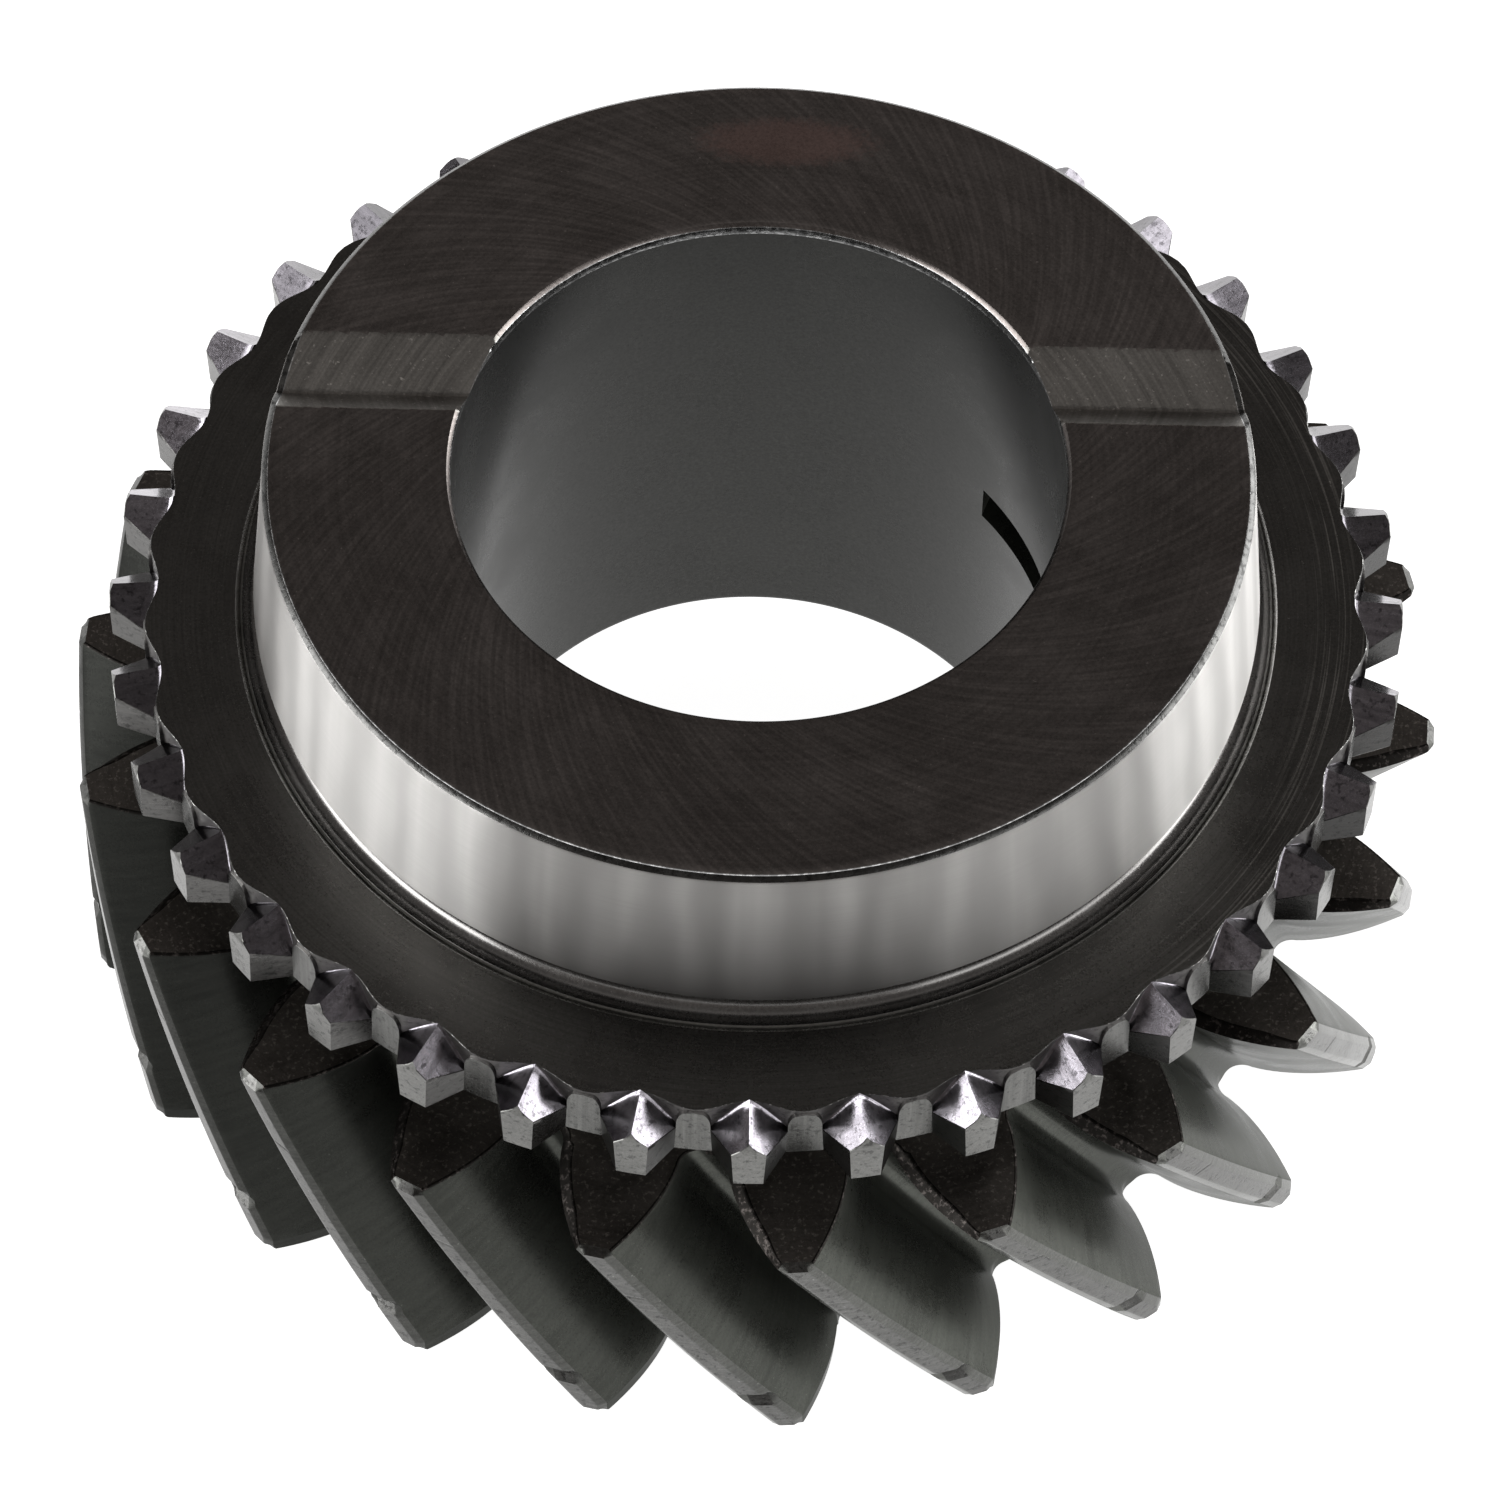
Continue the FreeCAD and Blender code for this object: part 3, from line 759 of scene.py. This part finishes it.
def lit_turning_lines(steel, tone, gain):
    """Turning lines made brighter on the outer part of the +X side: a painted highlight."""
    turned = steel.span(steel.noise(steel.wrapped(2.0, 6.5, 0.0), 1.0, 1.0, 0.5), 0.56, 0.68, 0.0, gain)
    place = steel.math("MULTIPLY", steel.span(steel.x, 22.0, 34.0), steel.span(steel.radius, 36.5, 38.0))
    return steel.scaled(tone, steel.math("ADD", 1.0, steel.math("MULTIPLY", turned, place)))


def machined(name, color, rough, lines, line_gain, mottle, specks=0.0, pits=0.0, depth=0.003, metallic=1.0,
             wear=None, light_sweep=None, grazing=None, swirl=0.0, arcs=0.0, far_side_light=None, stains=()):
    """Cut or ground steel: lines of the tool, cloudy tone, specks, pits and a fine grain.

    lines: waves of the tool marks for Steel.wrapped; light_sweep: x from, x to and the gains there, painted
    light and shade across x; grazing: reflectance seen along the surface; far_side_light: gains behind the
    axis, painted light and shade.
    """
    steel = Steel(name, rough, metallic)
    fine = steel.noise(steel.wrapped(*lines), detail=4.0, rough=0.6)
    cloud = steel.noise(steel.position, scale=0.16, detail=3.0, warp=0.6)
    relief = steel.noise(steel.position, scale=3.2, detail=3.0)
    tone = steel.blend(steel.span(fine, 0.3, 0.7), tint(color, 1 - line_gain), tint(color, 1 + line_gain))
    light = steel.math("MULTIPLY", steel.span(cloud, 0.35, 0.7), mottle)
    tone = steel.blend(light, tone, tint(color, 1.9))
    height = steel.math("ADD", fine, steel.math("MULTIPLY", relief, 0.5))
    if pits:
        tone, height = pitted(steel, tone, height, color, pits)
    if specks:
        tone = speckled(steel, tone, wear or tint(color, 3.2), specks)
    if swirl:
        tone = swirled(steel, tone, swirl)
    for place in stains:
        tone = stained(steel, tone, relief, place)
    if grazing:
        steel.shader.inputs["Specular Tint"].default_value = (grazing, grazing, grazing, 1)
    # Painted light and shade: the tone is made brighter or darker from one side to the other along x.
    if light_sweep:
        tone = steel.scaled(tone, steel.span(steel.x, *light_sweep))
    # Painted light and shade behind the axis.
    if far_side_light:
        tone = painted_light_behind(steel, tone, far_side_light)
    # Painted highlight: turning lines made brighter on the +X side.
    if arcs:
        tone = lit_turning_lines(steel, tone, arcs)
    grain = steel.noise(steel.position, 5.5, 2.0, 0.7)
    tone = steel.scaled(tone, steel.span(grain, 0.3, 0.7, 0.84, 1.16))
    steel.color(tone)
    uneven = steel.math("ADD", cloud, steel.math("MULTIPLY", grain, 0.5))
    steel.roughness(steel.span(uneven, 0.45, 1.05, rough * 0.75, rough * 1.35))
    steel.bump(height, depth)


# The sweeps over x and the gains behind the axis are painted light and shade; they stand in for unknown
# surroundings.
machined("flank", (0.041, 0.043, 0.038), 0.27, (30.0, 0.6, 2.6), 0.2, 0.3, specks=0.2, metallic=0.75,
         light_sweep=(-38.0, 22.0, 0.35, 1.9), grazing=0.45)
machined("chamfer", (0.066, 0.067, 0.063), 0.25, (24.0, 0.5, 5.0), 0.2, 0.2, specks=0.3,
         light_sweep=(-38.0, 22.0, 0.6, 1.5))
machined("bevel", (0.014, 0.013, 0.012), 0.42, (24.0, 2.0, 2.0), 0.2, 0.2, specks=1.4,
         wear=(0.09, 0.08, 0.075), grazing=0.4)
machined("crest", (0.088, 0.088, 0.085), 0.25, (24.0, 0.5, 5.0), 0.25, 0.2, specks=0.3, pits=0.2)
machined("end", (0.1, 0.091, 0.083), 0.38, (12.0, 5.0, 0.5), 0.18, 0.3, specks=1.2, depth=0.004)
machined("turned", (0.13, 0.128, 0.12), 0.32, (5.0, 3.0, 4.0), 0.22, 0.25, specks=0.2)
machined("relief", (0.22, 0.215, 0.21), 0.26, (8.0, 1.2, 1.2), 0.12, 0.15, depth=0.0015)
machined("rim", (0.08, 0.08, 0.078), 0.25, (40.0, 2.0, 2.0), 0.3, 0.2, pits=0.3)
machined("edge", (0.5, 0.5, 0.5), 0.25, (40.0, 1.0, 1.0), 0.3, 0.2, pits=1.2, depth=0.004)
machined("top", (0.135, 0.122, 0.116), 0.28, (1.2, 3.2, 0.3), 0.15, 0.2, specks=0.3, depth=0.0025,
         swirl=0.22, far_side_light=(1.1, 1.2), stains=[(1.3, 27.2, 6.0, 2.1), (24.2, 6.3, 2.2, 0.8)])
machined("slot", (0.2, 0.192, 0.18), 0.35, (1.2, 3.2, 3.0), 0.3, 0.25, specks=0.6, depth=0.005)
machined("bore", (0.043, 0.043, 0.041), 0.28, (60.0, 0.4, 4.0), 0.15, 0.15, depth=0.002)
machined("ring_turned", (0.12, 0.118, 0.11), 0.32, (5.0, 2.0, 3.0), 0.15, 0.2, depth=0.002)
machined("ring_edge", (0.6, 0.6, 0.59), 0.25, (40.0, 1.0, 1.0), 0.25, 0.2, depth=0.002)
# The shoulder's turning lines are painted brighter on the +X side, as a highlight.
machined("shoulder", (0.096, 0.093, 0.088), 0.27, (3.0, 7.5, 0.5), 0.2, 0.12, specks=0.25, arcs=1.6)
machined("shoulder_edge", (0.06, 0.06, 0.058), 0.35, (40.0, 1.0, 1.0), 0.3, 0.2, specks=1.4,
         wear=(0.6, 0.6, 0.58))
machined("pocket", (0.06, 0.057, 0.055), 0.4, (14.0, 1.0, 3.0), 0.3, 0.3, specks=0.4, pits=0.3, depth=0.008,
         metallic=0.7)
machined("roof", (0.155, 0.147, 0.162), 0.19, (110.0, 0.3, 0.3), 0.3, 0.12, specks=0.1, pits=0.15,
         depth=0.0015, light_sweep=(-38.0, 22.0, 0.95, 1.75), far_side_light=(2.1, 0.45))
machined("dog_land", (0.115, 0.115, 0.11), 0.22, (40.0, 0.5, 3.0), 0.15, 0.2, pits=0.15, depth=0.002)
machined("dog_flank", (0.09, 0.088, 0.085), 0.28, (30.0, 1.0, 4.0), 0.3, 0.25, specks=0.3, pits=0.2,
         light_sweep=(-15.0, 8.0, 0.8, 0.3))
machined("gap", (0.09, 0.09, 0.086), 0.25, (150.0, 0.3, 0.12), 0.3, 0.2, pits=0.1, depth=0.002)

# The cone is ground: reflections are stretched along the axis, and painted reflection streaks run round it.
# The middle of its front and back is painted darker, most at the base, as shade for the dark surroundings
# mirrored there.
cone = Steel("cone", 0.3)
cone_color = (0.42, 0.413, 0.402)
sway = cone.noise(cone.wrapped(4.0, 0.0, 0.05), detail=2.0)
phase = cone.math("ADD", cone.math("MULTIPLY", cone.angle, 46.0), cone.math("MULTIPLY", sway, 9.0))
reflection_bands = cone.span(cone.math("SINE", phase), -1.0, 1.0)
lines = cone.noise(cone.wrapped(2.0, 0.0, 9.0), detail=4.0, rough=0.7)
reflection_streaks = cone.noise(cone.wrapped(14.0, 0.0, 0.01), detail=2.0)
tone = cone.blend(reflection_bands, tint(cone_color, 0.84), tint(cone_color, 1.16))
tone = cone.blend(cone.span(reflection_streaks, 0.35, 0.65, 0.0, 0.5), tone, tint(cone_color, 0.8))
tone = cone.blend(cone.span(lines, 0.3, 0.7, 0.0, 0.25), tone, tint(cone_color, 0.75))
front = cone.span(cone.math("ABSOLUTE", cone.x), 5.0, 24.0, 1.0, 0.0)
shade = cone.math("MULTIPLY", front, cone.span(cone.z, 33.5, 43.0, 0.72, 0.12))
tone = cone.blend(shade, tone, tint(cone_color, 0.12))
cone.color(tone)
cone.roughness(cone.span(reflection_streaks, 0.3, 0.7, 0.4, 0.44))
cone.bump(lines, 0.0012)
tangent = cone.node("ShaderNodeTangent", direction_type="RADIAL", axis="Z")
cone.tree.links.new(tangent.outputs[0], cone.shader.inputs["Tangent"])
cone.shader.inputs["Anisotropic"].default_value = 1.0
cone.shader.inputs["Anisotropic Rotation"].default_value = 0.25

for names, obj in ((GEAR_MATERIALS, gear), (RING_MATERIALS, ring)):
    for name in names:
        obj.data.materials.append(bpy.data.materials[name])

# ---------------------------------------------------------------- floor, light and camera
FLOOR_HALF = 4.0
FLOOR_GLOW = 0.95
SKY = [(0.09, (0.8, 0.8, 0.8)), (0.16, (0.15, 0.13, 0.12)), (0.88, (0.14, 0.133, 0.1288)),
       (0.985, (0.34, 0.323, 0.3128))]


def pale_floor():
    """Plain floor that glows a little, so that it stays white round the gear."""
    mesh = bpy.data.meshes.new("floor")
    corners = [(x * FLOOR_HALF, y * FLOOR_HALF, 0) for x, y in ((-1, -1), (1, -1), (1, 1), (-1, 1))]
    mesh.from_pydata(corners, [], [(0, 1, 2, 3)])
    material = bpy.data.materials.new("floor")
    material.use_nodes = True
    shader = material.node_tree.nodes["Principled BSDF"]
    shader.inputs["Base Color"].default_value = (0.9, 0.9, 0.9, 1)
    shader.inputs["Roughness"].default_value = 0.9
    shader.inputs["Emission Color"].default_value = (1, 1, 1, 1)
    shader.inputs["Emission Strength"].default_value = FLOOR_GLOW
    mesh.materials.append(material)
    return new_object("floor", mesh)


def dim_studio():
    """What the steel mirrors: pale at the horizon, dark brown above it, a little lighter overhead."""
    world = bpy.data.worlds.new("studio")
    bpy.context.scene.world = world
    world.use_nodes = True
    nodes, links = world.node_tree.nodes, world.node_tree.links
    coordinate = nodes.new("ShaderNodeTexCoord")
    separate = nodes.new("ShaderNodeSeparateXYZ")
    ramp = nodes.new("ShaderNodeValToRGB")
    links.new(coordinate.outputs["Generated"], separate.inputs[0])
    links.new(separate.outputs["Z"], ramp.inputs[0])
    links.new(ramp.outputs[0], nodes["Background"].inputs["Color"])
    elements = ramp.color_ramp.elements
    for element, (position, color) in zip(elements, SKY):
        element.position = position
        element.color = (*color, 1)
    for position, color in SKY[2:]:
        elements.new(position).color = (*color, 1)


floor = pale_floor()
dim_studio()

LIGHT_DISTANCE = 0.8
LIGHT_TARGET = Vector((0, 0, 0.03))


def softbox(name, place, target, size, power):
    """Rectangular light that faces its target and isn't seen by the camera."""
    light = bpy.data.lights.new(name, "AREA")
    light.shape = "RECTANGLE"
    light.size, light.size_y = size
    light.energy = power
    obj = new_object(name, light)
    obj.visible_camera = False
    obj.location = place
    obj.rotation_euler = (target - place).to_track_quat("-Z", "Y").to_euler()


def softbox_round(name, azimuth, width, low, high, radiance):
    """An even light beside the gear: azimuth from +Y towards +X, width and heights in degrees."""
    turn, middle = math.radians(azimuth), math.radians((low + high) / 2)
    away = Vector((math.sin(turn) * math.cos(middle), math.cos(turn) * math.cos(middle), math.sin(middle)))
    size = [2 * LIGHT_DISTANCE * math.tan(math.radians(angle / 2)) for angle in (width, high - low)]
    power = radiance * math.pi * size[0] * size[1]
    softbox(name, LIGHT_TARGET + away * LIGHT_DISTANCE, LIGHT_TARGET, size, power)


softbox_round("left", -105, 52, -2, 26, 6.3)
softbox_round("right", 74, 54, -2, 26, 6.3)
softbox_round("right_front", 128, 40, 8, 26, 2.2)

CAMERA_PLACE = (0.0, -0.26675, 0.39902)
CAMERA_PITCH = math.radians(55.3725)
CAMERA_YAW = math.radians(-0.0476)
CAMERA_ROLL = math.radians(1.1707)
LENS = 163.95
SENSOR = 36.0


def photo_camera():
    """Camera that looks down at the gear from the front, rolled by about a degree."""
    data = bpy.data.cameras.new("camera")
    data.sensor_width = SENSOR
    data.lens = LENS
    data.clip_start = 0.01
    data.clip_end = 20.0
    pitch, yaw, roll = CAMERA_PITCH, CAMERA_YAW, CAMERA_ROLL
    forward = Vector((math.sin(yaw) * math.cos(pitch), math.cos(yaw) * math.cos(pitch), -math.sin(pitch)))
    level = Vector((math.cos(yaw), -math.sin(yaw), 0))
    raised = level.cross(forward)
    right = math.cos(roll) * level + math.sin(roll) * raised
    upright = -math.sin(roll) * level + math.cos(roll) * raised
    turn = Matrix((right, upright, -forward)).transposed().to_4x4()
    camera = new_object("camera", data)
    camera.matrix_world = Matrix.Translation(CAMERA_PLACE) @ turn
    return camera


bpy.context.scene.camera = photo_camera()
bpy.context.scene.view_settings.view_transform = "Standard"
